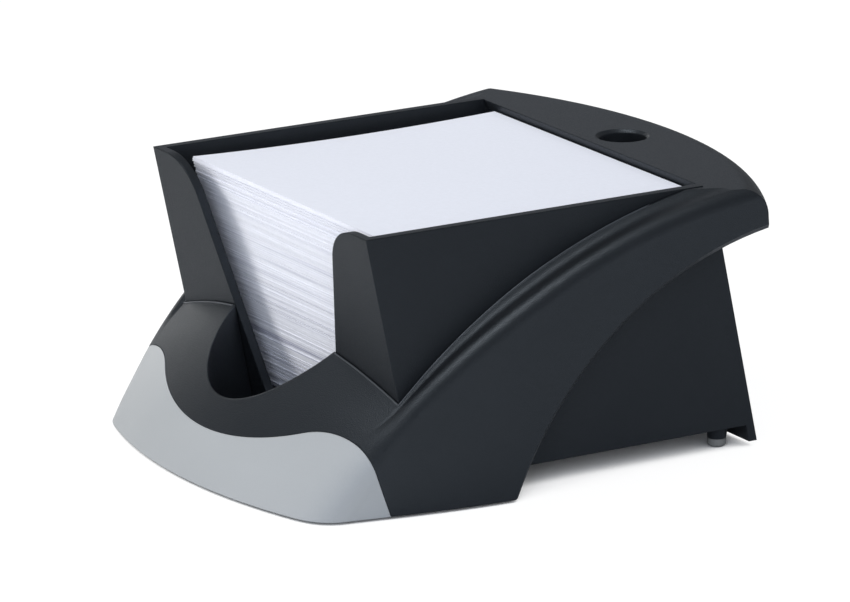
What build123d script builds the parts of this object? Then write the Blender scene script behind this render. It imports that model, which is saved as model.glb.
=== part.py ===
"""Desk memo box: a raked paper box under a moulded arch cover with a finger scoop and a pen hole.

Millimetres. X is the width, the front faces -Y, Z is up. The origin is the middle of the
footprint at table height.
"""

import os
from math import asin, cos, degrees, radians, sin, sqrt, tan

from build123d import *

# Paper
sheet_width = 90.0
pile_height = 57.8
loose_height = 1.2
pile_below_rim = 1.9
sheet_side_play = 5.0
sheet_front_play = 4.6
sheet_rear_play = 0.4

# Paper box
box_wall = 2.4
rake = 12.2
floor_height = 10.5
floor_thickness = 2.4
panel_bottom = 5.9
rear_wall_bottom = 1.5
opening_half_at_rim = 36.0
opening_lean = 17.3
opening_foot_radius = 6.0
post_corner_radius = 13.0
rib_depth = 1.6
rib_thickness = 1.6
rib_count = 3
rib_pitch = 25.0

# Foot pegs under the box and their rubber tips
peg_top_radius = 3.2
peg_tip_radius = 2.4
peg_wall_inset = 3.0
peg_rear_inset = 6.0
peg_front_inset = 9.0
tip_height = 2.3
tip_pin_radius = 1.0
tip_pin_length = 2.0
tip_rounding = 1.2
pin_clearance = 0.05

# Arch cover
cover_wall = 2.2
cover_gap = 0.2
skirt_clearance = 0.8
deck_below_rim = 0.2
lip_reach = 23.3
deck_reach = 27.8
fender_width = 8.9
side_radius = 250.0
side_bend_ahead = 2.0
lip_radius = 150.0
lip_angle = 62.0
apron_crown = 11.0
arch_foot_behind_lip = 10.3
arch_peak_above_deck = 1.2
arch_peak_inset = 6.3
shoulder_radius = 3.4
corner_radius = 9.0
corner_lead = 2.5
corner_span = 8.0
valley_fade = 5.5
fender_depth = 46.0
cover_rear_angle = -4.0
cover_front_angle = 60.0
cover_steps = 30
crest_rise_at_posts = 1.15
ramp_softness = 0.15
seam_rise = 1.4
seam_drop_at_posts = 0.85
seam_lip = 0.6
seam_to_crest = 1.7
seam_softness = 0.5
seam_crown = 2.0
valley_pull = 1.1
valley_rear_angle = 6.0
rear_radius = 123.6
rear_flare = 0.6
rear_flare_height = 10.0
deck_edge_radius = 7.0
leg_length = 62.1
skirt_depth = 9.7
opening_peak_inset = 0.4
hem = 1.6
scoop_radius = 25.6
scoop_centre_behind_rim = 15.0
scoop_wall = 1.8
scoop_wall_bottom = 6.0

# Pen hole
pen_bore_radius = 6.0
pen_collar_wall = 1.4
pen_collar_length = 11.0
pen_hole_behind_rim = 7.9
pen_chamfer = 0.8

# Front trim
trim_gap = 0.15
trim_lean = 19.3
trim_centre_behind_front = 11.7
trim_centre_radius = 60.0
trim_centre_sweep = 35.0
trim_side_radius = 30.7
flange_thickness = 1.5
flange_lap = 5.0
flange_root = 2.0
flange_half = 44.0

# Counts and ratios of the drawing
dome_halvings = 40
bezier_quarter = 0.5523

# Places that follow from the sizes above
box_half = sheet_width / 2 + sheet_side_play + box_wall
inner_half = box_half - box_wall
box_length = sheet_width + sheet_front_play + sheet_rear_play + 2 * box_wall
rim_in = box_half + cover_gap
half_width = rim_in + fender_width
front_y = -(lip_reach + box_length + deck_reach) / 2
rear_y = -front_y
rim_front = front_y + lip_reach
rim_rear = rim_front + box_length
floor_under = floor_height - floor_thickness
pile_top = floor_height + pile_height
rim_height = pile_top + pile_below_rim
deck_height = rim_height - deck_below_rim
deck_under = deck_height - cover_wall
slope = tan(radians(rake))
rake_axis = Vector(0, -sin(radians(rake)), cos(radians(rake)))
sheet_rear = rim_rear - box_wall - sheet_rear_play
sheet_front = sheet_rear - sheet_width
peg_x = inner_half - peg_wall_inset
post_foot_y = rim_front + slope * rim_height / 2
side_bend = (rim_front + rim_rear) / 2 - side_bend_ahead
rear_axis = Axis((0, rear_y - rear_radius, 0), (0, 0, 1))
pen_plane = Plane(
    (0, rim_rear + pen_hole_behind_rim, deck_height), x_dir=(1, 0, 0), z_dir=rake_axis
)
trim_dir = (0, -sin(radians(trim_lean)), cos(radians(trim_lean)))

# Arch of the fenders: its circle peaks near the rear edge and comes down to the front corner
arch_y = rear_y - arch_peak_inset
arch_span = arch_y - front_y - arch_foot_behind_lip
arch_rise = deck_height + arch_peak_above_deck - skirt_clearance
arch_radius = (arch_span**2 + arch_rise**2) / (2 * arch_rise)
arch_z = skirt_clearance + arch_rise - arch_radius
bend_angle = degrees(asin((arch_y - side_bend) / arch_radius))
post_angle = degrees(asin((arch_y - post_foot_y) / arch_radius))
corner_start = post_angle - corner_lead
corner_end = post_angle + corner_span
post_foot_z = arch_z + sqrt(arch_radius**2 - (arch_y - post_foot_y) ** 2)

# Side opening under the arch: its circle peaks near the rear edge and comes down to the leg
opening_y = rear_y - opening_peak_inset
opening_top = deck_height - skirt_depth
opening_rise = opening_top - skirt_clearance
opening_span = opening_y - front_y - leg_length
opening_radius = (opening_span**2 + opening_rise**2) / (2 * opening_rise)
opening_axis = Axis((0, opening_y, opening_top - opening_radius), (1, 0, 0))

# Apron: an arc that leaves the lip at its angle and passes the crown between the posts
apron_run = post_foot_y - front_y
apron_rise = post_foot_z + apron_crown - skirt_clearance
apron_turn = apron_run * sin(radians(lip_angle)) - apron_rise * cos(radians(lip_angle))
apron_radius = (apron_run**2 + apron_rise**2) / (2 * apron_turn)
apron_centre_y = front_y + apron_radius * sin(radians(lip_angle))
apron_centre_z = skirt_clearance - apron_radius * cos(radians(lip_angle))
apron_axis_y = front_y + lip_radius
base_align = (Align.CENTER, Align.CENTER, Align.MIN)


def raked(y_at_rim, z):
    """Y of a raked plane that passes y_at_rim at the height of the rim."""
    return y_at_rim + (rim_height - z) * slope


peg_front_y = raked(rim_front + box_wall, tip_height) + peg_front_inset
peg_rear_y = raked(rim_rear - box_wall, tip_height) - peg_rear_inset
peg_places = [(x, y) for y in (peg_front_y, peg_rear_y) for x in (-peg_x, peg_x)]
tip_names = [f"foot_tip_{end}_{side}" for end in ("front", "rear") for side in ("left", "right")]


def raked_profile(front, rear, low, high):
    """Side view of a block whose front and rear faces follow the rake."""
    with BuildSketch(Plane.YZ) as profile:
        with BuildLine():
            Polyline(
                (raked(front, low), low),
                (raked(rear, low), low),
                (raked(rear, high), high),
                (raked(front, high), high),
                close=True,
            )
        make_face()
    return profile.sketch


def side_x(y):
    """Half width of the cover at y: straight at the rear, drawn in along an arc at the front."""
    ahead = max(0.0, side_bend - y)
    return half_width - side_radius + sqrt(side_radius**2 - ahead**2)


def section_plane(angle):
    """Plane through the arch's axis, turned forward from upright by the angle."""
    turn = radians(angle)
    return Plane(
        origin=(0, arch_y, arch_z), x_dir=(1, 0, 0), z_dir=(0, -cos(turn), -sin(turn))
    )


def ramp(angle, start, end):
    """Smooth rise from 0 to 1 between two section angles."""
    share = min(1.0, max(0.0, (angle - start) / (end - start)))
    return share**2 * (3 - 2 * share)


def blend(rear, front, share):
    """Mix of a rear and a front value."""
    return rear + (front - rear) * share


def soft_min(first, second):
    """The smaller of two values, eased where they are close."""
    return (first + second - sqrt((first - second) ** 2 + seam_softness**2)) / 2


def dome_reach(angle, x):
    """Distance of the apron's dome from the arch's axis at x, in the section at the angle."""
    turn = radians(angle)
    low, high = arch_radius - fender_depth, arch_radius + fender_depth
    for _ in range(dome_halvings):
        reach = (low + high) / 2
        y = arch_y - reach * sin(turn)
        dome_y = apron_axis_y - sqrt(x**2 + (y - apron_axis_y) ** 2)
        drop = max(0.0, apron_radius**2 - (dome_y - apron_centre_y) ** 2)
        if arch_z + reach * cos(turn) < apron_centre_z + sqrt(drop):
            low = reach
        else:
            high = reach
    return reach


def cover_section(angle, depth):
    """Section of the cover, taken in by depth: side walls, shoulders, valleys and the top.

    Behind the posts the top rises to the seam along the box. Ahead of them it is the dome's
    parabola, which runs on over the shoulders.
    """
    turn = radians(angle)
    ahead = max(0.0, (angle - bend_angle) / (post_angle - bend_angle))
    ahead = sqrt(ahead**2 + ramp_softness**2) - ramp_softness
    front = ramp(angle, corner_start, corner_start + valley_fade)
    shoulder = blend(shoulder_radius, corner_radius, ramp(angle, post_angle, corner_end))
    shoulder -= depth / 2
    side = side_x(arch_y - arch_radius * sin(turn)) - depth
    crest_x = side - shoulder
    seam_x = soft_min(rim_in + seam_lip, crest_x - seam_to_crest)
    rear_seam = arch_radius + seam_rise - seam_drop_at_posts * ahead
    rear_crest = arch_radius + crest_rise_at_posts * ahead
    dome_centre = dome_reach(angle, 0)
    fall = (dome_centre - dome_reach(angle, seam_x)) / seam_x**2
    seam = blend(rear_seam, dome_centre - fall * seam_x**2, front)
    crest = blend(rear_crest, dome_centre - fall * crest_x**2, front)
    third = (crest_x - seam_x) / 3
    groove = valley_pull * ramp(angle, valley_rear_angle, bend_angle)
    near = blend(rear_crest - groove, seam - 2 * fall * seam_x * third, front)
    crest_slope = -2 * fall * crest_x * front
    dome_share = ramp(angle, bend_angle, corner_start)
    centre = blend(rear_seam + seam_crown, dome_centre, dome_share) - depth * (2 - dome_share)
    seam_in = seam - depth * (2 - front)
    wall_top = crest - depth - shoulder
    low = arch_radius - fender_depth - depth
    low_x = side_x(arch_y - low * sin(turn)) - depth
    pull = bezier_quarter * shoulder
    with BuildSketch(section_plane(angle)) as section:
        with BuildLine():
            for hand in (-1, 1):
                Bezier(
                    (hand * seam_x, seam_in),
                    (hand * (seam_x + third), near - depth),
                    (hand * (crest_x - third), crest - crest_slope * third - depth),
                    (hand * crest_x, crest - depth),
                )
                Bezier(
                    (hand * crest_x, crest - depth),
                    (hand * (crest_x + pull), crest + crest_slope * pull - depth),
                    (hand * side, wall_top + pull),
                    (hand * side, wall_top),
                )
                Line((hand * side, wall_top), (hand * low_x, low))
            ThreePointArc((-seam_x, seam_in), (0, centre), (seam_x, seam_in))
            Line((-low_x, low), (low_x, low))
        make_face()
    return section.sketch


def cover_block(depth):
    """Solid form of the cover, taken in by depth, from behind the deck to below the lip."""
    step = (cover_front_angle - cover_rear_angle) / cover_steps
    with BuildPart() as block:
        loft([cover_section(cover_rear_angle + step * i, depth) for i in range(cover_steps + 1)])
    return block.part


def rear_profile(inset):
    """Half side view of the space inside the rear face and the deck, taken in by inset."""
    deck_z = deck_height - inset
    edge_y = rear_y - rear_flare - inset
    with BuildSketch(Plane.YZ) as profile:
        with BuildLine():
            Polyline(
                (rear_axis.position.Y, skirt_clearance),
                (rear_y - inset, skirt_clearance),
                (rear_y - inset, deck_height - rear_flare_height),
                (edge_y, deck_z),
                (rear_axis.position.Y, deck_z),
                close=True,
            )
        make_face()
        fillet(profile.vertices().sort_by_distance((edge_y, deck_z))[0], deck_edge_radius - inset)
    return profile.sketch


def trim_zone(shift):
    """Plan of the zone in front of the trim's edge at table height, moved forward by shift."""
    sweep = radians(trim_centre_sweep)
    centre_y = front_y + trim_centre_behind_front - shift
    bend_x = trim_centre_radius * sin(sweep)
    bend_y = centre_y + trim_centre_radius * (1 - cos(sweep))
    end_x = bend_x + trim_side_radius * sin(sweep)
    end_y = bend_y + trim_side_radius * (1 - cos(sweep))
    mid_x = bend_x + trim_side_radius * (sin(sweep) - sin(sweep / 2))
    mid_y = end_y - trim_side_radius * (1 - cos(sweep / 2))
    far_y = front_y - half_width
    with BuildSketch(Plane.XY) as zone:
        with BuildLine():
            ThreePointArc((-bend_x, bend_y), (0, centre_y), (bend_x, bend_y))
            ThreePointArc((bend_x, bend_y), (mid_x, mid_y), (end_x, end_y))
            Polyline(
                (end_x, end_y),
                (2 * half_width, end_y),
                (2 * half_width, far_y),
                (-2 * half_width, far_y),
                (-2 * half_width, end_y),
                (-end_x, end_y),
            )
            ThreePointArc((-end_x, end_y), (-mid_x, mid_y), (-bend_x, bend_y))
        make_face()
    return zone.sketch


def post_opening():
    """Front view of the gap between the posts, with rounded post tops and a rounded foot."""
    foot_half = opening_half_at_rim - (rim_height - floor_height) * tan(radians(opening_lean))
    above = rim_height + post_corner_radius
    with BuildSketch(Plane.XZ) as opening:
        with BuildLine():
            Polyline(
                (-foot_half, floor_height),
                (foot_half, floor_height),
                (opening_half_at_rim, rim_height),
                (half_width, rim_height),
                (half_width, above),
                (-half_width, above),
                (-half_width, rim_height),
                (-opening_half_at_rim, rim_height),
                close=True,
            )
        make_face()
        for side in (-1, 1):
            corner = opening.vertices().sort_by_distance((side * opening_half_at_rim, rim_height))[0]
            fillet(corner, post_corner_radius)
            corner = opening.vertices().sort_by_distance((side * foot_half, floor_height))[0]
            fillet(corner, opening_foot_radius)
    return opening.sketch


os.makedirs("parts", exist_ok=True)

# Paper box: raked walls, a raised floor with ribs, and four pegs
with BuildPart() as paper_box:
    extrude(raked_profile(rim_front, rim_rear, panel_bottom, rim_height), amount=box_half, both=True)
    inside = raked_profile(rim_front + box_wall, rim_rear - box_wall, floor_height, rim_height)
    extrude(inside, amount=inner_half, both=True, mode=Mode.SUBTRACT)
    hollow = raked_profile(rim_front + box_wall, rim_rear - box_wall, panel_bottom, floor_under)
    extrude(hollow, amount=inner_half, both=True, mode=Mode.SUBTRACT)
    rear_foot = raked_profile(rim_rear - box_wall, rim_rear, rear_wall_bottom, panel_bottom)
    extrude(rear_foot, amount=box_half, both=True)
    deck_seat = raked_profile(rim_rear - box_wall, rim_rear, deck_under, rim_height)
    extrude(deck_seat, amount=box_half, both=True, mode=Mode.SUBTRACT)
    front_gap = Pos(0, rim_front, 0) * post_opening()
    extrude(front_gap, amount=sheet_width / 3, both=True, mode=Mode.SUBTRACT)
    rib = raked_profile(rim_front + box_wall, rim_rear - box_wall, floor_under - rib_depth, floor_under)
    for place in range(rib_count):
        rib_x = (place - (rib_count - 1) / 2) * rib_pitch
        extrude(Pos(rib_x, 0, 0) * rib, amount=rib_thickness / 2, both=True)
    with Locations(*[(x, y, tip_height) for x, y in peg_places]):
        Cone(peg_tip_radius, peg_top_radius, floor_under - tip_height, align=base_align)
        Cylinder(tip_pin_radius, tip_pin_length, align=base_align, mode=Mode.SUBTRACT)
paper_box.part.label = "paper_box"
export_step(paper_box.part, "parts/paper_box.step")

# Rubber tips, each with a pin up into its peg
for name, place in zip(tip_names, peg_places):
    with BuildPart() as foot_tip:
        with Locations((*place, 0)):
            Cylinder(peg_tip_radius, tip_height, align=base_align)
        fillet(foot_tip.edges().group_by(Axis.Z)[0], tip_rounding)
        with Locations((*place, tip_height)):
            Cylinder(tip_pin_radius - pin_clearance, tip_pin_length, align=base_align)
    foot_tip.part.label = name
    export_step(foot_tip.part, f"parts/{name}.step")

# Paper pile and the loose sheets on top of it
with BuildPart() as note_stack:
    pile = raked_profile(sheet_front, sheet_rear, floor_height, pile_top - loose_height)
    extrude(pile, amount=sheet_width / 2, both=True)
note_stack.part.label = "note_stack"
export_step(note_stack.part, "parts/note_stack.step")

with BuildPart() as top_sheets:
    loose = raked_profile(sheet_front, sheet_rear, pile_top - loose_height, pile_top)
    extrude(loose, amount=sheet_width / 2, both=True)
top_sheets.part.label = "top_sheets"
export_step(top_sheets.part, "parts/top_sheets.step")

# Forms of the cover at each depth of its wall
cover_skin = cover_block(0)
mid_wall = cover_block(cover_wall / 2)
cover_core = cover_block(cover_wall)
flange_skin = cover_block(cover_wall + trim_gap)
flange_core = cover_block(cover_wall + trim_gap + flange_thickness)

# Wall that closes the finger scoop below the apron
with BuildPart() as scoop_ring:
    with BuildSketch(Plane.XY.offset(scoop_wall_bottom)):
        with Locations((0, rim_front + scoop_centre_behind_rim)):
            Circle(scoop_radius + scoop_wall)
    extrude(amount=rim_height)
    add(mid_wall, mode=Mode.INTERSECT)

# Rear skirt: a flared ring under the deck's edge, between the fenders
with BuildPart() as skirt:
    revolve(rear_profile(0), axis=rear_axis)
    revolve(rear_profile(cover_wall), axis=rear_axis, mode=Mode.SUBTRACT)
    with BuildSketch(Plane.XY):
        with Locations((0, rim_rear)):
            Rectangle(2 * half_width - cover_wall, deck_reach, align=(Align.CENTER, Align.MIN))
    extrude(amount=rim_height, mode=Mode.INTERSECT)
    with BuildSketch(Plane.YZ):
        with Locations((arch_y, arch_z)):
            Circle(arch_radius - cover_wall)
    extrude(amount=half_width, both=True, mode=Mode.INTERSECT)

# Whole shell of the cover, before the trim's edge parts it
with BuildPart() as shell:
    add(cover_skin)
    add(cover_core, mode=Mode.SUBTRACT)
    add(scoop_ring.part)
    add(skirt.part)
    with BuildSketch(Plane.XY.offset(deck_under)):
        with Locations((0, rim_rear - box_wall)):
            Rectangle(2 * rim_in + seam_lip, deck_reach + box_wall, align=(Align.CENTER, Align.MIN))
    extrude(amount=cover_wall)
    with BuildSketch(pen_plane):
        Circle(pen_bore_radius + pen_collar_wall)
    extrude(amount=-pen_collar_length)
    revolve(rear_profile(0), axis=rear_axis, mode=Mode.INTERSECT)
    with BuildSketch(pen_plane):
        Circle(pen_bore_radius)
    extrude(amount=2 * pen_collar_length, both=True, mode=Mode.SUBTRACT)
    pen_rim = shell.edges().filter_by(GeomType.ELLIPSE).sort_by_distance(pen_plane.origin)[0]
    chamfer(pen_rim, pen_chamfer)
    with BuildSketch(Plane.YZ):
        with Locations((opening_y, opening_top - opening_radius)):
            Circle(opening_radius)
    extrude(amount=2 * half_width, both=True, mode=Mode.SUBTRACT)
    for side in (-1, 1):
        with BuildSketch(Plane.XZ.offset(-opening_y)):
            with BuildLine():
                Polyline(
                    (side * (half_width - hem), opening_top),
                    (side * (half_width + hem), opening_top),
                    (side * (half_width + hem), opening_top + 2 * hem),
                    close=True,
                )
            make_face()
        revolve(axis=opening_axis, mode=Mode.SUBTRACT)
    box_space = raked_profile(rim_front - cover_gap, rim_rear - box_wall, 0, rim_height)
    extrude(box_space, amount=rim_in, both=True, mode=Mode.SUBTRACT)
    wall_space = raked_profile(rim_rear - box_wall, rim_rear + cover_gap, 0, deck_under)
    extrude(wall_space, amount=rim_in, both=True, mode=Mode.SUBTRACT)
    with BuildSketch(Plane.XY):
        with Locations((0, rim_front + scoop_centre_behind_rim)):
            Circle(scoop_radius)
    extrude(amount=rim_height, mode=Mode.SUBTRACT)

# Flange under the trim's edge, joined to the cover behind it
with BuildPart() as trim_space:
    add(cover_skin)
    add(flange_skin, mode=Mode.SUBTRACT)
    extrude(trim_zone(0), amount=rim_height, dir=trim_dir, mode=Mode.INTERSECT)

with BuildPart() as flange:
    add(mid_wall)
    add(flange_core, mode=Mode.SUBTRACT)
    extrude(trim_zone(-flange_root), amount=rim_height, dir=trim_dir, mode=Mode.INTERSECT)
    extrude(trim_zone(flange_lap), amount=rim_height, dir=trim_dir, mode=Mode.SUBTRACT)
    with BuildSketch(Plane.XY):
        Rectangle(2 * flange_half, 2 * rear_y)
    extrude(amount=rim_height, mode=Mode.INTERSECT)
    add(trim_space.part, mode=Mode.SUBTRACT)

# Arch cover and front trim, parted along the trim's leaning edge
with BuildPart() as arch_cover:
    add(shell.part)
    extrude(trim_zone(0), amount=rim_height, dir=trim_dir, mode=Mode.SUBTRACT)
    add(flange.part)
arch_cover.part.label = "arch_cover"
export_step(arch_cover.part, "parts/arch_cover.step")

with BuildPart() as front_trim:
    add(shell.part)
    extrude(trim_zone(trim_gap), amount=rim_height, dir=trim_dir, mode=Mode.INTERSECT)
front_trim.part.label = "front_trim"
export_step(front_trim.part, "parts/front_trim.step")
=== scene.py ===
"""Looks of a desk memo box: moulded cover, paper box, trim strip, rubber tips and a pile of notes.

Every length in the classes is in millimetres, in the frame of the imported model: X is the width,
the front faces -Y and Z is up. Meshes are put into Blender in metres.
"""

import logging
import math
from dataclasses import dataclass
from enum import Enum

import bmesh
import bpy
import numpy as np
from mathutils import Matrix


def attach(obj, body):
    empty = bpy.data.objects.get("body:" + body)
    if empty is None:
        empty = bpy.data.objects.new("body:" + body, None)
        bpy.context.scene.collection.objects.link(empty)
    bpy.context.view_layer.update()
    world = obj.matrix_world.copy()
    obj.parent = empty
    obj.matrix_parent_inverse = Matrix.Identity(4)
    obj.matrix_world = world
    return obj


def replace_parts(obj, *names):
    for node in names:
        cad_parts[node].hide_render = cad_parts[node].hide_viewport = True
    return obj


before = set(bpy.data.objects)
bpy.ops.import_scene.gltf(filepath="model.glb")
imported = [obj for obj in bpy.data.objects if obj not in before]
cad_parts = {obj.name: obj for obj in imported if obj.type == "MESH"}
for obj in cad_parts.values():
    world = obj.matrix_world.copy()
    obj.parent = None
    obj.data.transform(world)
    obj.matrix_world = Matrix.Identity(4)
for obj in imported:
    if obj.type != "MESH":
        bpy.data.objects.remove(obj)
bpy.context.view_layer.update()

LOG = logging.getLogger("memo_box")
MM = 0.001


class Socket(Enum):
    """Kinds of socket that the shared node groups use."""

    VALUE = "NodeSocketFloat"
    COLOUR = "NodeSocketColor"
    VECTOR = "NodeSocketVector"


class Graph:
    """Small builder for shader nodes in one material, world or group."""

    def __init__(self, tree: bpy.types.NodeTree) -> None:
        """Takes the node tree that it fills."""
        self.tree = tree

    def add(self, kind: str, **values: object) -> bpy.types.Node:
        """Adds one node.

        Args:
            kind: Blender's identifier of the node.
            values: properties of the node by name.

        Returns:
            The new node.
        """
        node = self.tree.nodes.new(kind)
        for name, value in values.items():
            setattr(node, name, value)
        return node

    def feed(self, node: bpy.types.Node, **inputs: object) -> bpy.types.Node:
        """Links sockets to a node's inputs or sets their values.

        Args:
            node: the node whose inputs are set.
            inputs: input names with blanks as underscores, each with a socket or a value.

        Returns:
            The same node.
        """
        for name, value in inputs.items():
            socket = node.inputs[name.replace("_", " ")]
            if isinstance(value, bpy.types.NodeSocket):
                self.tree.links.new(value, socket)
            else:
                socket.default_value = value
        return node

    def noise(
        self, vector: bpy.types.NodeSocket, scale: float, detail: float, rough: float = 0.5
    ) -> bpy.types.NodeSocket:
        """Adds a noise texture on the given coordinates.

        Args:
            vector: coordinates in metres.
            scale: features per metre.
            detail: octaves.
            rough: weight of the finer octaves.

        Returns:
            The noise value, about 0.5 on average.
        """
        node = self.add("ShaderNodeTexNoise")
        self.feed(node, Vector=vector, Scale=scale, Detail=detail, Roughness=rough)
        return node.outputs["Fac"]

    def stretched(
        self, vector: bpy.types.NodeSocket, scale: tuple[float, float, float]
    ) -> bpy.types.NodeSocket:
        """Multiplies coordinates axis by axis."""
        node = self.add("ShaderNodeVectorMath", operation="MULTIPLY")
        self.tree.links.new(vector, node.inputs[0])
        node.inputs[1].default_value = scale
        return node.outputs[0]

    def ramp(
        self, value: bpy.types.NodeSocket, low: float, high: float, out_low: float, out_high: float
    ) -> bpy.types.NodeSocket:
        """Maps a value from one range to another and clamps it.

        Args:
            value: the socket to map.
            low: value that gives out_low.
            high: value that gives out_high.
            out_low: lower output.
            out_high: upper output.

        Returns:
            The mapped value.
        """
        node = self.add("ShaderNodeMapRange")
        for slot, number in enumerate((low, high, out_low, out_high), start=1):
            node.inputs[slot].default_value = number
        self.tree.links.new(value, node.inputs[0])
        return node.outputs[0]

    def math(self, operation: str, a: object, b: object = 0.0) -> bpy.types.NodeSocket:
        """Adds a math node.

        Args:
            operation: Blender's name of the operation.
            a: first socket or number.
            b: second socket or number.

        Returns:
            The result.
        """
        node = self.add("ShaderNodeMath", operation=operation)
        for slot, value in enumerate((a, b)):
            if isinstance(value, bpy.types.NodeSocket):
                self.tree.links.new(value, node.inputs[slot])
            else:
                node.inputs[slot].default_value = value
        return node.outputs[0]

    def tone(self, value: bpy.types.NodeSocket) -> bpy.types.NodeSocket:
        """Makes a grey colour from one value."""
        node = self.add("ShaderNodeCombineColor")
        for slot in range(3):
            self.tree.links.new(value, node.inputs[slot])
        return node.outputs[0]

    def mix(self, fac: object, a: object, b: object, blend: str = "MIX") -> bpy.types.NodeSocket:
        """Mixes two colours.

        Args:
            fac: socket or number.
            a: first colour or socket.
            b: second colour or socket.
            blend: Blender's name of the blend mode.

        Returns:
            The mixed colour.
        """
        node = self.add("ShaderNodeMix", data_type="RGBA", blend_type=blend)
        for slot, value in ((0, fac), (6, a), (7, b)):
            if isinstance(value, bpy.types.NodeSocket):
                self.tree.links.new(value, node.inputs[slot])
            elif slot and len(value) == 3:
                node.inputs[slot].default_value = (*value, 1.0)
            else:
                node.inputs[slot].default_value = value
        return node.outputs[2]


class GroupKit:
    """Shared shader node groups, each built once."""

    made: dict[str, bpy.types.NodeTree] = {}

    @classmethod
    def start(
        cls, name: str, inputs: dict[str, Socket], outputs: dict[str, Socket]
    ) -> tuple[Graph, bpy.types.Node, bpy.types.Node]:
        """Opens a new group.

        Args:
            name: the group's name.
            inputs: names and kinds of its inputs.
            outputs: names and kinds of its outputs.

        Returns:
            The graph, its input node and its output node.
        """
        tree = bpy.data.node_groups.new(name, "ShaderNodeTree")
        for in_out, sockets in (("INPUT", inputs), ("OUTPUT", outputs)):
            for label, kind in sockets.items():
                tree.interface.new_socket(label, in_out=in_out, socket_type=kind.value)
        graph = Graph(tree)
        cls.made[name] = tree
        return graph, graph.add("NodeGroupInput"), graph.add("NodeGroupOutput")

    @classmethod
    def grain(cls) -> bpy.types.NodeTree:
        """Spark-eroded mould grain: fine pits over soft, wider waves of tone.

        Returns:
            A group that puts out a height, a mask of pits and a slow drift of tone.
        """
        name = "mould grain"
        if name not in cls.made:
            graph, source, sink = cls.start(
                name,
                {"Vector": Socket.VECTOR, "Pits": Socket.VALUE, "Drift": Socket.VALUE},
                {"Height": Socket.VALUE, "Pit": Socket.VALUE, "Tone": Socket.VALUE},
            )
            cells = graph.add("ShaderNodeTexVoronoi", feature="F1")
            graph.feed(cells, Vector=source.outputs["Vector"], Scale=source.outputs["Pits"])
            fine = graph.add("ShaderNodeTexNoise")
            graph.feed(
                fine, Vector=source.outputs["Vector"], Scale=source.outputs["Pits"], Detail=3.0
            )
            slow = graph.add("ShaderNodeTexNoise")
            graph.feed(
                slow, Vector=source.outputs["Vector"], Scale=source.outputs["Drift"], Detail=4.0
            )
            pit = graph.ramp(cells.outputs["Distance"], 0.1, 0.6, 0.0, 1.0)
            height = graph.math("MULTIPLY", pit, fine.outputs["Fac"])
            graph.tree.links.new(height, sink.inputs["Height"])
            graph.tree.links.new(pit, sink.inputs["Pit"])
            graph.tree.links.new(slow.outputs["Fac"], sink.inputs["Tone"])
        return cls.made[name]

    @classmethod
    def sheet_gaps_and_shade(cls) -> bpy.types.NodeTree:
        """Painted shade in the gaps between stacked sheets: thin level lines of two widths,
        stronger lower in the pile.

        Returns:
            A group that puts out a mask of painted gap shade and a height.
        """
        name = "sheet gaps and shade"
        if name not in cls.made:
            graph, source, sink = cls.start(
                name,
                {"Vector": Socket.VECTOR, "Low": Socket.VALUE, "High": Socket.VALUE},
                {"Line": Socket.VALUE, "Height": Socket.VALUE},
            )
            place = source.outputs["Vector"]
            fine = graph.noise(graph.stretched(place, (9.0, 9.0, 3400.0)), 1.0, 3.0, 0.6)
            broad = graph.noise(graph.stretched(place, (14.0, 14.0, 620.0)), 1.0, 2.0, 0.5)
            # Painted shade in the gaps between sheets: level lines of two widths, made stronger
            # lower in the pile.
            thin = graph.ramp(fine, 0.575, 0.615, 0.0, 0.6)
            wide = graph.ramp(broad, 0.57, 0.68, 0.0, 0.6)
            level = graph.add("ShaderNodeSeparateXYZ")
            graph.tree.links.new(place, level.inputs[0])
            depth = graph.add("ShaderNodeMapRange")
            graph.tree.links.new(level.outputs["Z"], depth.inputs["Value"])
            graph.tree.links.new(source.outputs["High"], depth.inputs["From Min"])
            graph.tree.links.new(source.outputs["Low"], depth.inputs["From Max"])
            depth.inputs["To Min"].default_value = 0.2
            deep = graph.math("POWER", depth.outputs["Result"], 1.6)
            gap_shade = graph.math("MULTIPLY", graph.math("ADD", thin, wide), deep)
            graph.tree.links.new(gap_shade, sink.inputs["Line"])
            graph.tree.links.new(fine, sink.inputs["Height"])
        return cls.made[name]


class Finish:
    """A surface finish that makes one Blender material."""

    label: str

    def start(self) -> tuple[bpy.types.Material, Graph, bpy.types.Node, bpy.types.NodeSocket]:
        """Opens a material with a Principled shader and Object coordinates.

        Returns:
            The material, its graph, its shader and the coordinates.
        """
        material = bpy.data.materials.new(self.label)
        material.use_nodes = True
        material.node_tree.nodes.clear()
        graph = Graph(material.node_tree)
        shader = graph.add("ShaderNodeBsdfPrincipled")
        output = graph.add("ShaderNodeOutputMaterial")
        graph.tree.links.new(shader.outputs[0], output.inputs["Surface"])
        place = graph.add("ShaderNodeTexCoord")
        return material, graph, shader, place.outputs["Object"]


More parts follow.
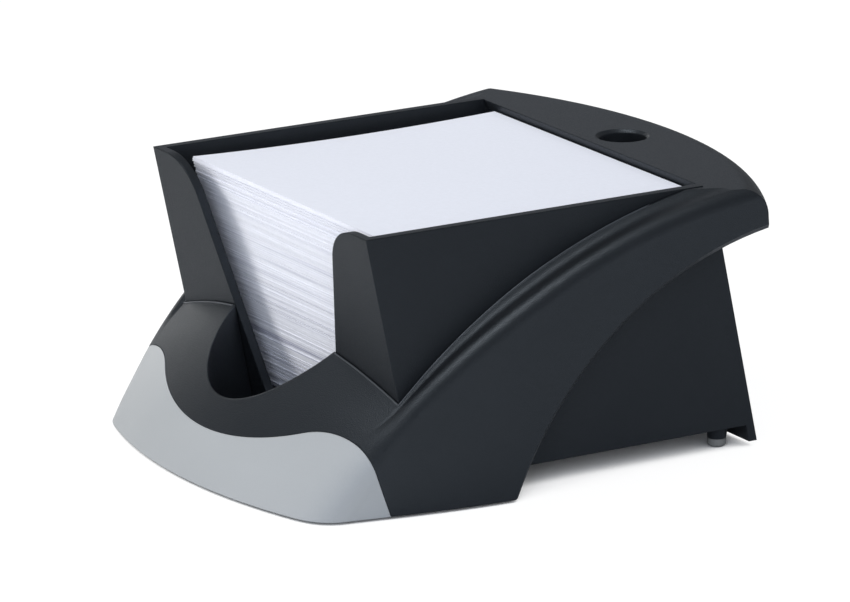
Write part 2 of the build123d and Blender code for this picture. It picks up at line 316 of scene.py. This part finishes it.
@dataclass(frozen=True)
class MouldedPlastic(Finish):
    """Dyed plastic from a grained mould.

    Attributes:
        label: the material's name.
        dark: colour in the pits and the darker drifts.
        light: colour on the raised grain.
        rough: lowest and highest roughness.
        pits: pits per metre.
        bump: depth of the grain in metres.
        specular: specular level of the shader.
        gloss: tint of the gloss.
        edge: radius of the softened edges in metres.
    """

    label: str
    dark: tuple[float, float, float]
    light: tuple[float, float, float]
    rough: tuple[float, float]
    pits: float
    bump: float
    specular: float
    gloss: tuple[float, float, float]
    edge: float

    def make(self) -> bpy.types.Material:
        """Builds the material: grain in colour, roughness and bump."""
        material, graph, shader, place = self.start()
        grain = graph.add("ShaderNodeGroup", node_tree=GroupKit.grain())
        graph.feed(grain, Vector=place, Pits=self.pits, Drift=35.0)
        blotch = graph.ramp(grain.outputs["Tone"], 0.3, 0.7, 0.0, 1.0)
        speck = graph.math("MULTIPLY", grain.outputs["Height"], 0.5)
        tone = graph.math("MULTIPLY_ADD", blotch, 0.6)
        graph.tree.links.new(speck, tone.node.inputs[2])
        colour = graph.mix(tone, self.dark, self.light)
        rough = graph.ramp(grain.outputs["Height"], 0.0, 0.8, *self.rough)
        edge = graph.feed(graph.add("ShaderNodeBevel", samples=6), Radius=self.edge)
        bump = graph.add("ShaderNodeBump")
        graph.feed(
            bump,
            Height=grain.outputs["Height"],
            Normal=edge.outputs["Normal"],
            Strength=1.0,
            Distance=self.bump,
        )
        graph.feed(
            shader,
            Base_Color=colour,
            Roughness=rough,
            Normal=bump.outputs["Normal"],
            Specular_IOR_Level=self.specular,
            Specular_Tint=(*self.gloss, 1.0),
        )
        return material


@dataclass(frozen=True)
class PaperStock(Finish):
    """Uncoated white paper that shows the lines of its sheets on the cut sides.

    Attributes:
        label: the material's name.
        white: colour of the sheets.
        gap_shade: blue-violet colour of the painted shade in the gaps between the sheets.
        low: height of the pile's foot in metres.
        high: height of the pile's top in metres.
    """

    label: str
    white: tuple[float, float, float]
    gap_shade: tuple[float, float, float]
    low: float
    high: float

    def make(self) -> bpy.types.Material:
        """Builds the material: painted shade in the sheet gaps, fibre in the colour and a faint
        tooth.
        """
        material, graph, shader, place = self.start()
        lines = graph.add("ShaderNodeGroup", node_tree=GroupKit.sheet_gaps_and_shade())
        graph.feed(lines, Vector=place, Low=self.low, High=self.high)
        geometry = graph.add("ShaderNodeNewGeometry")
        facing = graph.add("ShaderNodeSeparateXYZ")
        graph.tree.links.new(geometry.outputs["True Normal"], facing.inputs[0])
        side = graph.ramp(graph.math("ABSOLUTE", facing.outputs["Z"]), 0.5, 0.8, 1.0, 0.0)
        fibre = graph.noise(place, 900.0, 4.0, 0.6)
        tone = graph.ramp(fibre, 0.3, 0.7, 0.965, 1.0)
        sheet = graph.mix(1.0, self.white, graph.tone(tone), "MULTIPLY")
        # Painted shade between the sheets, on the cut sides only.
        mask = graph.math("MULTIPLY", lines.outputs["Line"], side)
        colour = graph.mix(mask, sheet, self.gap_shade)
        relief = graph.mix(side, graph.tone(fibre), graph.tone(lines.outputs["Height"]))
        bump = graph.add("ShaderNodeBump")
        graph.feed(bump, Height=relief, Strength=0.5, Distance=2.0e-5)
        graph.feed(
            shader,
            Base_Color=colour,
            Roughness=graph.ramp(fibre, 0.3, 0.7, 0.75, 0.85),
            Normal=bump.outputs["Normal"],
            Specular_IOR_Level=0.25,
        )
        return material


class LightUse(Enum):
    """What a light shows on."""

    MATT = "lights matt surfaces only"
    GLOSS = "shows in gloss only"


@dataclass(frozen=True)
class Softbox:
    """Square area light that faces the object.

    Attributes:
        name: the light's name.
        at: its place in metres.
        size: edge in metres.
        power: watts.
        use: what it shows on.
        colour: colour of the light.
        aim_height: height of the place it faces in metres.
    """

    name: str
    at: tuple[float, float, float]
    size: float
    power: float
    use: LightUse
    colour: tuple[float, float, float] = (1.0, 1.0, 1.0)
    aim_height: float = 0.03

    def add(self) -> bpy.types.Object:
        """Adds the light to the scene, turned to the object."""
        data = bpy.data.lights.new(self.name, "AREA")
        data.size = self.size
        data.energy = self.power
        data.color = self.colour
        light = bpy.data.objects.new(self.name, data)
        light.location = self.at
        x, y, z = self.at
        tilt = math.atan2(math.hypot(x, y), z - self.aim_height)
        light.rotation_euler = (tilt, 0.0, math.atan2(y, x) + math.pi / 2)
        light.visible_glossy = self.use is LightUse.GLOSS
        light.visible_diffuse = self.use is LightUse.MATT
        bpy.context.scene.collection.objects.link(light)
        return light


COOL_LIGHT = (0.8, 0.87, 1.0)
WARM_LIGHT = (1.0, 0.98, 0.945)
SOFTBOXES = (
    Softbox("key softbox", (-0.85, -1.1, 0.95), 0.5, 18.0, LightUse.MATT, WARM_LIGHT),
    Softbox("fill softbox", (1.2, -0.9, 0.6), 1.0, 12.5, LightUse.MATT, COOL_LIGHT),
    Softbox("top softbox", (0.3, 0.2, 1.5), 1.2, 3.8, LightUse.MATT, COOL_LIGHT),
    Softbox("gloss softbox", (0.15, -0.5, 1.45), 0.7, 12.0, LightUse.GLOSS),
    Softbox("deck softbox", (-1.45, 0.8, 0.5), 0.7, 0.5, LightUse.GLOSS, COOL_LIGHT),
    Softbox("rim softbox", (-1.4, 0.1, 0.35), 0.6, 1.7, LightUse.GLOSS),
)


@dataclass(frozen=True)
class Stage:
    """White floor, soft studio light and the camera.

    Attributes:
        floor_half: half the floor's edge in metres.
        camera_at: the camera's place in metres.
        azimuth: turn of the camera about Z in degrees.
        elevation: height of the camera above the horizon in degrees.
        lens: focal length in millimetres.
        sensor: width of the sensor in millimetres.
        floor_grey: brightness of the floor's own colour.
        floor_glow: strength of the white that the camera sees.
        floor_white: share of that white where nothing stands over the floor.
        shade_reach: how far above the floor something shades it in metres.
        matt_surround: strength of the surround on matt surfaces.
        gloss_surround: strength of the surround in gloss.
        surround_colour: colour of the surround.
    """

    floor_half: float = 6.0
    camera_at: tuple[float, float, float] = (1.379222, -0.847078, 0.498412)
    azimuth: float = 58.5474
    elevation: float = 15.9946
    lens: float = 282.638
    sensor: float = 36.0
    floor_grey: float = 0.74
    floor_glow: float = 1.14
    floor_white: float = 0.82
    shade_reach: float = 0.1
    matt_surround: float = 0.45
    gloss_surround: float = 0.22
    surround_colour: tuple[float, float, float] = (0.93, 0.96, 1.0)

    def camera(self) -> bpy.types.Object:
        """Adds the camera at the photograph's viewing angle."""
        data = bpy.data.cameras.new("camera")
        data.lens = self.lens
        data.sensor_width = self.sensor
        data.clip_start = 0.01
        data.clip_end = 50.0
        camera = bpy.data.objects.new("camera", data)
        camera.location = self.camera_at
        camera.rotation_euler = (math.radians(90 - self.elevation), 0.0, math.radians(self.azimuth))
        bpy.context.scene.collection.objects.link(camera)
        bpy.context.scene.camera = camera
        return camera

    def floor(self) -> bpy.types.Object:
        """Adds a white floor that keeps its shadow under the object and a faint one beside it."""
        half = self.floor_half
        mesh = bpy.data.meshes.new("floor")
        corners = [(-half, -half, 0), (half, -half, 0), (half, half, 0), (-half, half, 0)]
        mesh.from_pydata(corners, [], [(0, 1, 2, 3)])
        material = bpy.data.materials.new("studio floor")
        material.use_nodes = True
        material.node_tree.nodes.clear()
        graph = Graph(material.node_tree)
        grey = (self.floor_grey, self.floor_grey, self.floor_grey, 1.0)
        lit = graph.feed(graph.add("ShaderNodeBsdfDiffuse"), Color=grey)
        glow = graph.feed(graph.add("ShaderNodeEmission"), Strength=self.floor_glow)
        seen = graph.add("ShaderNodeLightPath").outputs["Is Camera Ray"]
        hollow = graph.add("ShaderNodeAmbientOcclusion", samples=8)
        graph.feed(hollow, Distance=self.shade_reach)
        clear = graph.ramp(hollow.outputs["AO"], 0.1, 0.35, 0.0, self.floor_white)
        both = graph.add("ShaderNodeMixShader")
        graph.tree.links.new(graph.math("MULTIPLY", seen, clear), both.inputs[0])
        graph.tree.links.new(lit.outputs[0], both.inputs[1])
        graph.tree.links.new(glow.outputs[0], both.inputs[2])
        output = graph.add("ShaderNodeOutputMaterial")
        graph.tree.links.new(both.outputs[0], output.inputs["Surface"])
        mesh.materials.append(material)
        floor = bpy.data.objects.new("floor", mesh)
        bpy.context.scene.collection.objects.link(floor)
        return floor

    def world(self) -> bpy.types.World:
        """Sets a surround that is white in view, and dimmer on the surfaces and in their gloss."""
        world = bpy.data.worlds.new("surround")
        bpy.context.scene.world = world
        world.use_nodes = True
        world.node_tree.nodes.clear()
        graph = Graph(world.node_tree)
        rays = graph.add("ShaderNodeLightPath")
        surround = graph.ramp(
            rays.outputs["Is Glossy Ray"], 0.0, 1.0, self.matt_surround, self.gloss_surround
        )
        strength = graph.math("MAXIMUM", surround, rays.outputs["Is Camera Ray"])
        sky = graph.feed(graph.add("ShaderNodeBackground"), Strength=strength)
        sky.inputs["Color"].default_value = (*self.surround_colour, 1.0)
        output = graph.add("ShaderNodeOutputWorld")
        graph.tree.links.new(sky.outputs[0], output.inputs["Surface"])
        return world

    def build(self) -> None:
        """Adds the camera, the floor and the light."""
        self.camera()
        self.floor()
        self.world()
        for softbox in SOFTBOXES:
            softbox.add()
        bpy.context.scene.view_settings.view_transform = "Standard"


NAVY_GLOSS = (0.8, 0.9, 1.0)
COVER_CHARCOAL = MouldedPlastic(
    label="cover charcoal",
    dark=(0.0066, 0.0078, 0.0096),
    light=(0.0104, 0.0118, 0.0140),
    rough=(0.42, 0.55),
    pits=3000.0,
    bump=4.5e-5,
    specular=0.56,
    gloss=NAVY_GLOSS,
    edge=0.0006,
)
BOX_CHARCOAL = MouldedPlastic(
    label="box charcoal",
    dark=(0.0066, 0.0078, 0.0096),
    light=(0.0104, 0.0118, 0.0140),
    rough=(0.42, 0.55),
    pits=3000.0,
    bump=4.5e-5,
    specular=0.4,
    gloss=NAVY_GLOSS,
    edge=0.0006,
)
GREY = MouldedPlastic(
    label="grey plastic",
    dark=(0.338, 0.352, 0.360),
    light=(0.368, 0.381, 0.388),
    rough=(0.36, 0.44),
    pits=2600.0,
    bump=6.0e-6,
    specular=0.4,
    gloss=(1.0, 1.0, 1.0),
    edge=0.0003,
)
RUBBER = MouldedPlastic(
    label="rubber",
    dark=(0.16, 0.16, 0.155),
    light=(0.22, 0.22, 0.21),
    rough=(0.5, 0.65),
    pits=3000.0,
    bump=1.0e-5,
    specular=0.4,
    gloss=(1.0, 1.0, 1.0),
    edge=0.0002,
)
# Painted highlight: the bead's plastic is several times lighter than the charcoal of the cover it
# edges, to paint the light seam along the box.
HIGHLIGHT_BEAD = MouldedPlastic(
    label="seam bead painted highlight",
    dark=(0.045, 0.049, 0.054),
    light=(0.06, 0.064, 0.07),
    rough=(0.3, 0.4),
    pits=2600.0,
    bump=2.0e-6,
    specular=0.5,
    gloss=NAVY_GLOSS,
    edge=0.0001,
)
PAPER = PaperStock(
    label="paper",
    white=(0.79, 0.80, 0.856),
    # Blue-violet painted shade for the gaps between the sheets.
    gap_shade=(0.15, 0.155, 0.28),
    low=0.0105,
    high=0.0683,
)


@dataclass(frozen=True)
class Rake:
    """Lean of the box and its paper.

    Attributes:
        rim: height of the box's rim.
        slope: forward lean per millimetre of height.
        centre: Y of the sheets' middle at the height of the rim.
        half: half the edge of a sheet.
        sag: how much lower the top of the pile lies at the rear.
        dip: how much lower it lies half way along its left edge.
    """

    rim: float = 70.2
    slope: float = math.tan(math.radians(12.2))
    centre: float = -0.15
    half: float = 45.0
    sag: float = 0.25
    dip: float = 0.9

    def drop(self, u: np.ndarray, v: np.ndarray) -> np.ndarray:
        """How much lower the pile's top lies at each place.

        The sag grows evenly to the rear. The dip is a parabola from front to rear and fades with
        the square of the distance from the left edge.

        Args:
            u: place across the sheet, from -1 at the left to 1.
            v: place along the sheet, from -1 at the front to 1.

        Returns:
            The drop at each place.
        """
        return self.sag * (v + 1.0) / 2.0 + self.dip * (1.0 - v**2) * ((1.0 - u) / 2.0) ** 2

    def middle(self, height: np.ndarray) -> np.ndarray:
        """Y of the sheets' middle at each height."""
        return self.centre + (self.rim - height) * self.slope


def add_piece(
    name: str, points: np.ndarray, faces: list[list[int]], finish: Finish, body: str
) -> bpy.types.Object:
    """Puts a new piece into the scene.

    Args:
        name: the piece's name.
        points: corners in millimetres, one row each.
        faces: corner numbers of each face.
        finish: its finish.
        body: the body it rides on.

    Returns:
        The new object.
    """
    mesh = bpy.data.meshes.new(name)
    mesh.from_pydata((points * MM).tolist(), [], faces)
    mesh.materials.append(finish.make())
    piece = bpy.data.objects.new(name, mesh)
    bpy.context.scene.collection.objects.link(piece)
    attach(piece, body)
    LOG.info("built %s with %d faces", name, len(faces))
    return piece


def ring_quads(number: np.ndarray) -> list[list[int]]:
    """Faces between closed rings of corners.

    Args:
        number: corner numbers, one row for each ring.

    Returns:
        Four corner numbers for each face.
    """
    beside = np.roll(number, -1, axis=1)
    quads = np.stack((number[:-1], beside[:-1], beside[1:], number[1:]), axis=2)
    return quads.reshape(-1, 4).tolist()


def grid_quads(number: np.ndarray) -> list[list[int]]:
    """Faces of open grids of corners.

    Args:
        number: corner numbers with the rows and columns of each grid on the last two axes.

    Returns:
        Four corner numbers for each face.
    """
    near, far = number[..., :-1, :], number[..., 1:, :]
    quads = np.stack((near[..., :-1], near[..., 1:], far[..., 1:], far[..., :-1]), axis=-1)
    return quads.reshape(-1, 4).tolist()


@dataclass(frozen=True)
class SheetPile:
    """The pile below the loose sheets: bundles of sheets that have slipped a little.

    Attributes:
        rake: lean of the pile.
        low: height of its foot.
        high: height of its top.
        bundles: number of bundles.
        per_side: points along each side of a sheet.
        slip: usual shift of a bundle.
        sway: slow sideways shift of the pile.
        forward: usual shift of a bundle to the front.
        open_share: share of the bundles with an open gap below them.
        open_gap: least and greatest height of an open gap at the foot.
        open_depth: depth of an open gap.
        shut_gap: height of a shut gap.
        shut_depth: depth of a shut gap.
        ripple: height of the slow wave in a bundle's edge.
        seed: seed of the shifts.
    """

    rake: Rake
    low: float = 10.5
    high: float = 67.1
    bundles: int = 120
    per_side: int = 14
    slip: float = 0.09
    sway: float = 0.3
    forward: float = 0.12
    open_share: float = 0.16
    open_gap: tuple[float, float] = (0.08, 0.3)
    open_depth: float = 1.6
    shut_gap: float = 0.012
    shut_depth: float = 0.1
    ripple: float = 0.07
    seed: int = 11

    def outline(self) -> np.ndarray:
        """Unit square, corner to corner, with per_side points on each side."""
        corners = np.array([(-1.0, -1.0), (1.0, -1.0), (1.0, 1.0), (-1.0, 1.0)])
        share = np.arange(self.per_side) / self.per_side
        ahead = np.roll(corners, -1, axis=0)
        sides = corners[:, None] + (ahead - corners)[:, None] * share[None, :, None]
        return sides.reshape(-1, 2)

    def rows(self) -> np.ndarray:
        """Corners of the pile's side, row by row from the foot.

        Each bundle has four rows: inside its lower groove, its lower edge, its upper edge and
        inside its upper groove. A row is the unit square drawn in by the groove, moved by the
        bundle's slip and by the lean at its height, with a slow wave in its height and the drop of
        the pile's top, which grows with the height.

        Returns:
            An array of rows by points by X, Y and Z.
        """
        rng = np.random.default_rng(self.seed)
        count = self.bundles
        thick = rng.uniform(0.5, 1.5, count)
        share = np.concatenate(([0.0], np.cumsum(thick) / thick.sum()))
        level = self.low + share * (self.high - self.low)
        deep = rng.random(count + 1) < self.open_share
        loose = 1.12 - np.linspace(0.0, 1.0, count + 1)
        gap = np.where(deep, rng.uniform(*self.open_gap, count + 1) * loose, self.shut_gap)
        groove = np.where(deep, self.open_depth, self.shut_depth)
        gap[[0, -1]] = 0.0
        sway = self.sway * np.sin(level[:-1] / 7.0)
        slip_x = np.clip(rng.normal(0.0, self.slip, count) + sway, -0.7, 0.7)
        slip_y = np.clip(rng.normal(-self.forward, self.slip, count), -0.5, 0.15)
        lower = level[:-1] + gap[:-1]
        height = np.stack((lower, lower, level[1:], level[1:]), axis=1)
        inset = np.stack((groove[:-1], 0 * thick, 0 * thick, groove[1:]), axis=1)
        height, inset = height.ravel(), inset.ravel()
        square = self.outline()
        scale = (self.rake.half - inset)[:, None]
        x = square[None, :, 0] * scale + np.repeat(slip_x, 4)[:, None]
        y = square[None, :, 1] * scale + (np.repeat(slip_y, 4) + self.rake.middle(height))[:, None]
        rise = (height - self.low) / (self.high - self.low)
        calm = (4 * rise * (1 - rise))[:, None]
        wave = np.sin(x / 11.0 + height[:, None] / 1.9) + np.sin(y / 8.0 - height[:, None] / 1.3)
        drop = self.rake.drop(square[None, :, 0], square[None, :, 1])
        z = height[:, None] + self.ripple * calm * wave - rise[:, None] * drop
        return np.stack((x, y, z), axis=2)

    def top(self, edge: np.ndarray) -> np.ndarray:
        """Upper face as a grid over the square within its edge, lowered by the drop.

        Args:
            edge: the pile's uppermost row.

        Returns:
            An array of rows by columns by X, Y and Z.
        """
        side = np.linspace(-1.0, 1.0, self.per_side + 1)
        u, v = np.meshgrid(side, side)
        low, high = edge[:, :2].min(axis=0), edge[:, :2].max(axis=0)
        plan = low + (high - low) * (np.stack((u, v), axis=2) + 1.0) / 2.0
        level = self.high - self.rake.drop(u, v)
        return np.concatenate((plan, level[..., None]), axis=2)

    def build(self) -> bpy.types.Object:
        """Adds the pile in place of its plain block."""
        rows = self.rows()
        top = self.top(rows[-1])
        high, wide = rows.shape[:2]
        number = np.arange(high * wide).reshape(high, wide)
        cell = high * wide + np.arange(top.shape[0] * top.shape[1]).reshape(top.shape[:2])
        faces = ring_quads(number) + grid_quads(cell) + [number[0, ::-1].tolist()]
        points = np.concatenate((rows.reshape(-1, 3), top.reshape(-1, 3)))
        piece = add_piece("sheet_pile", points, faces, PAPER, "pile")
        joined = bmesh.new()
        joined.from_mesh(piece.data)
        bmesh.ops.remove_doubles(joined, verts=joined.verts, dist=2.0e-6)
        joined.to_mesh(piece.data)
        joined.free()
        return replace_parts(piece, "note_stack")


@dataclass(frozen=True)
class LooseSheets:
    """The topmost sheets, a little fanned and lower at the rear.

    Attributes:
        rake: lean of the pile.
        low: height of the lowest sheet.
        high: height of the top sheet's upper face at the front.
        sheets: number of sheets.
        thickness: thickness of one.
        steps: faces along each side of a sheet.
        twist: greatest turn of a sheet in radians.
        aside: greatest shift of a sheet to a side.
        forward: least and greatest shift of a sheet to the front.
        seed: seed of the fanning.
    """

    rake: Rake
    low: float = 67.14
    high: float = 68.3
    sheets: int = 8
    thickness: float = 0.14
    steps: int = 14
    twist: float = 0.001
    aside: float = 0.3
    forward: tuple[float, float] = (-0.18, -0.1)
    seed: int = 5

    def build(self) -> bpy.types.Object:
        """Adds the sheets: level grids that are turned, shifted and eased down to the rear."""
        rng = np.random.default_rng(self.seed)
        side = np.linspace(-1.0, 1.0, self.steps + 1)
        u, v = np.meshgrid(side, side)
        turn = rng.uniform(-self.twist, self.twist, self.sheets)[:, None, None]
        shift_x = rng.uniform(-self.aside, self.aside, self.sheets)[:, None, None]
        shift_y = rng.uniform(*self.forward, self.sheets)[:, None, None]
        order = (np.arange(self.sheets) / (self.sheets - 1))[:, None, None]
        half = self.rake.half
        span = self.high - self.low - self.thickness
        z = self.low + self.thickness / 2 + order * span - self.rake.drop(u, v)
        x = half * (u * np.cos(turn) - v * np.sin(turn)) + shift_x + 0 * z
        middle = self.rake.middle(self.high)
        y = half * (u * np.sin(turn) + v * np.cos(turn)) + shift_y + middle + 0 * z
        points = np.stack((x, y, z), axis=3).reshape(-1, 3)
        number = np.arange(points.shape[0]).reshape(self.sheets, self.steps + 1, self.steps + 1)
        piece = add_piece("loose_sheets", points, grid_quads(number), PAPER, "loose")
        solid = piece.modifiers.new("thickness", "SOLIDIFY")
        solid.thickness = self.thickness * MM
        solid.offset = 0.0
        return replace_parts(piece, "top_sheets")


@dataclass(frozen=True)
class SeamBead:
    """Fine raised edge of the cover along the box: across a post's foot and back along the wall.
    Its plastic is lighter than the cover's, a painted highlight along that edge.

    Attributes:
        hand: 1 for the right bead and -1 for the left.
        rake: lean of the box.
        face_y: Y of the cover's front edge at the height of the rim.
        face_x: half the width between the cover's side edges.
        inner_x: inner end of the bead at the post's foot.
        rear_y: rear end of the bead.
        radius: radius of the bead.
        stations: rings along each stretch.
        around: points round each ring.
    """

    hand: int
    rake: Rake
    face_y: float = -52.35
    face_x: float = 52.6
    inner_x: float = 25.2
    rear_y: float = 29.0
    radius: float = 0.24
    stations: int = 60
    around: int = 10

    def height(self, x: np.ndarray, y: np.ndarray) -> np.ndarray:
        """Height of the cover's upper face at each place, found by looking down on it."""
        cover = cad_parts["arch_cover"]
        hits = [
            cover.ray_cast((self.hand * a * MM, b * MM, 0.1), (0.0, 0.0, -1.0))[1][2] / MM
            for a, b in zip(x, y)
        ]
        return np.array(hits)

    def path(self) -> np.ndarray:
        """Middle of the bead: level with the cover's edge, from the post's foot to the rear."""
        off = 1.2 * self.radius
        x = np.linspace(self.inner_x, self.face_x + off, self.stations)
        z = np.full(self.stations, 30.0)
        for _ in range(4):
            y = self.face_y + (self.rake.rim - z) * self.rake.slope - off
            z = self.height(x, y)
        back = np.linspace(y[-1], self.rear_y, self.stations)[1:]
        side = np.full(self.stations - 1, self.face_x + off)
        across = np.stack((x, y, z), axis=1)
        return np.concatenate((across, np.stack((side, back, self.height(side, back)), axis=1)))

    def build(self) -> bpy.types.Object:
        """Adds the bead: a small circle, square to the path, at each station of the path."""
        path = self.path() * (self.hand, 1.0, 1.0)
        ahead = np.gradient(path, axis=0)
        ahead /= np.linalg.norm(ahead, axis=1, keepdims=True)
        out = np.cross(ahead, (0.0, 0.0, 1.0))
        out /= np.linalg.norm(out, axis=1, keepdims=True)
        up = np.cross(out, ahead)
        turn = np.linspace(0.0, 2.0 * np.pi, self.around, endpoint=False)[None, :, None]
        ring = np.cos(turn) * out[:, None] + np.sin(turn) * up[:, None]
        rings = path[:, None] + self.radius * ring
        number = np.arange(rings.shape[0] * self.around).reshape(-1, self.around)
        faces = ring_quads(number) + [number[0, ::-1].tolist(), number[-1].tolist()]
        name = "seam_bead_right" if self.hand > 0 else "seam_bead_left"
        # The bead's lighter plastic paints the highlight along the cover's edge.
        piece = add_piece(name, rings.reshape(-1, 3), faces, HIGHLIGHT_BEAD, "base")
        piece.data.shade_smooth()
        return piece


@dataclass(frozen=True)
class Moulding:
    """Carried-over solids that share one finish.

    Attributes:
        nodes: names of the solids.
        finish: their finish.
    """

    nodes: tuple[str, ...]
    finish: Finish

    def dress(self) -> None:
        """Gives every solid the finish in place of its plain one."""
        material = self.finish.make()
        for node in self.nodes:
            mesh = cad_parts[node].data
            mesh.materials.clear()
            mesh.materials.append(material)
            LOG.info("dressed %s with %s", node, self.finish.label)


MOULDINGS = (
    Moulding(("paper_box",), BOX_CHARCOAL),
    Moulding(("arch_cover",), COVER_CHARCOAL),
    Moulding(("front_trim",), GREY),
    Moulding(
        (
            "foot_tip_front_left",
            "foot_tip_front_right",
            "foot_tip_rear_left",
            "foot_tip_rear_right",
        ),
        RUBBER,
    ),
)


def main() -> None:
    """Builds every sub-assembly in order."""
    logging.basicConfig(level=logging.INFO)
    Stage().build()
    for moulding in MOULDINGS:
        moulding.dress()
    rake = Rake()
    for hand in (1, -1):
        SeamBead(hand, rake).build()
    SheetPile(rake).build()
    LooseSheets(rake).build()


if __name__ == "__main__":
    main()
